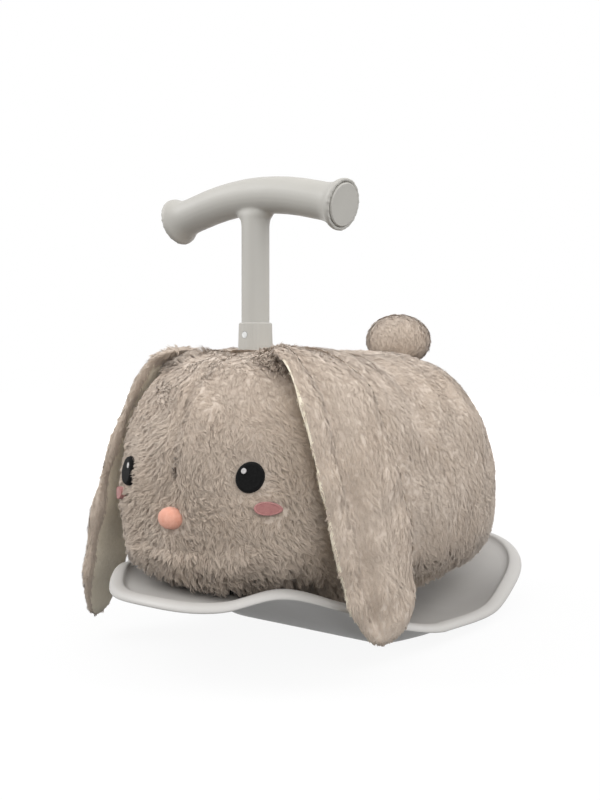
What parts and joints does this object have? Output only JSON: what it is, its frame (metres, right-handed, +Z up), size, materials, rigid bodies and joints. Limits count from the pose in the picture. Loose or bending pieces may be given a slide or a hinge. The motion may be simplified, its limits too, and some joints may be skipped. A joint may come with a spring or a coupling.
{
  "type": "plush ride on animal",
  "caption": "Plush lop eared bunny ride on with an upright T handle, fixed on a moulded plastic rocker tray.",
  "frame": {"origin": "on the floor, under the middle of the whole object's box", "axes": "+Z up, +Y towards the tail, the face looks to -Y, +X to the bunny's own left"},
  "size_m": [0.3743, 0.594, 0.5016],
  "materials": {
    "tray_plastic": "light grey moulded plastic, fine satin",
    "handle_plastic": "warm light grey moulded plastic, satin",
    "plush_fur": "taupe long pile plush",
    "black_felt": "black embroidered felt",
    "coral_felt": "coral short pile pad",
    "pink_felt": "pink felt with a stitched edge",
    "zinc_steel": "zinc plated steel",
    "plywood": "birch plywood",
    "seat_foam": "polyurethane foam, open cell"
  },
  "bodies": {
    "root": {"base_bolt_1": "zinc_steel", "base_bolt_2": "zinc_steel", "base_bolt_3": "zinc_steel", "base_bolt_4": "zinc_steel", "base_nut_1": "zinc_steel", "base_nut_2": "zinc_steel", "base_nut_3": "zinc_steel", "base_nut_4": "zinc_steel", "base_washer_1": "zinc_steel", "base_washer_2": "zinc_steel", "base_washer_3": "zinc_steel", "base_washer_4": "zinc_steel", "collar_screw": "zinc_steel", "floor_board": "plywood", "frame_screw_1": "zinc_steel", "frame_screw_2": "zinc_steel", "frame_screw_3": "zinc_steel", "frame_screw_4": "zinc_steel", "frame_screw_5": "zinc_steel", "frame_screw_6": "zinc_steel", "frame_screw_7": "zinc_steel", "frame_screw_8": "zinc_steel", "front_cross_board": "plywood", "handlebar": "handle_plastic", "left_cheek": "pink_felt", "left_eye": "black_felt", "left_grip_cap": "handle_plastic", "left_side_board": "plywood", "nose": "coral_felt", "plush_body": "plush_fur", "rear_cross_board": "plywood", "right_cheek": "pink_felt", "right_eye": "black_felt", "right_grip_cap": "handle_plastic", "right_side_board": "plywood", "rocker_tray": "tray_plastic", "seat_board": "plywood", "seat_foam": "seat_foam", "stem_collar": "handle_plastic", "stem_tube": "zinc_steel", "tail_pompom": "plush_fur", "tube_flange": "zinc_steel"},
    "left_ear": {"left_ear": "plush_fur"},
    "right_ear": {"right_ear": "plush_fur"}
  },
  "joints": [
    {"name": "left_ear_swing", "type": "hinge", "parent": "root", "child": "left_ear", "pos_m": [0.064, -0.17, 0.319], "axis": [0, -1, 0], "range_deg": [0, 70]},
    {"name": "right_ear_swing", "type": "hinge", "parent": "root", "child": "right_ear", "pos_m": [-0.064, -0.17, 0.319], "axis": [0, 1, 0], "range_deg": [0, 70]}
  ]
}
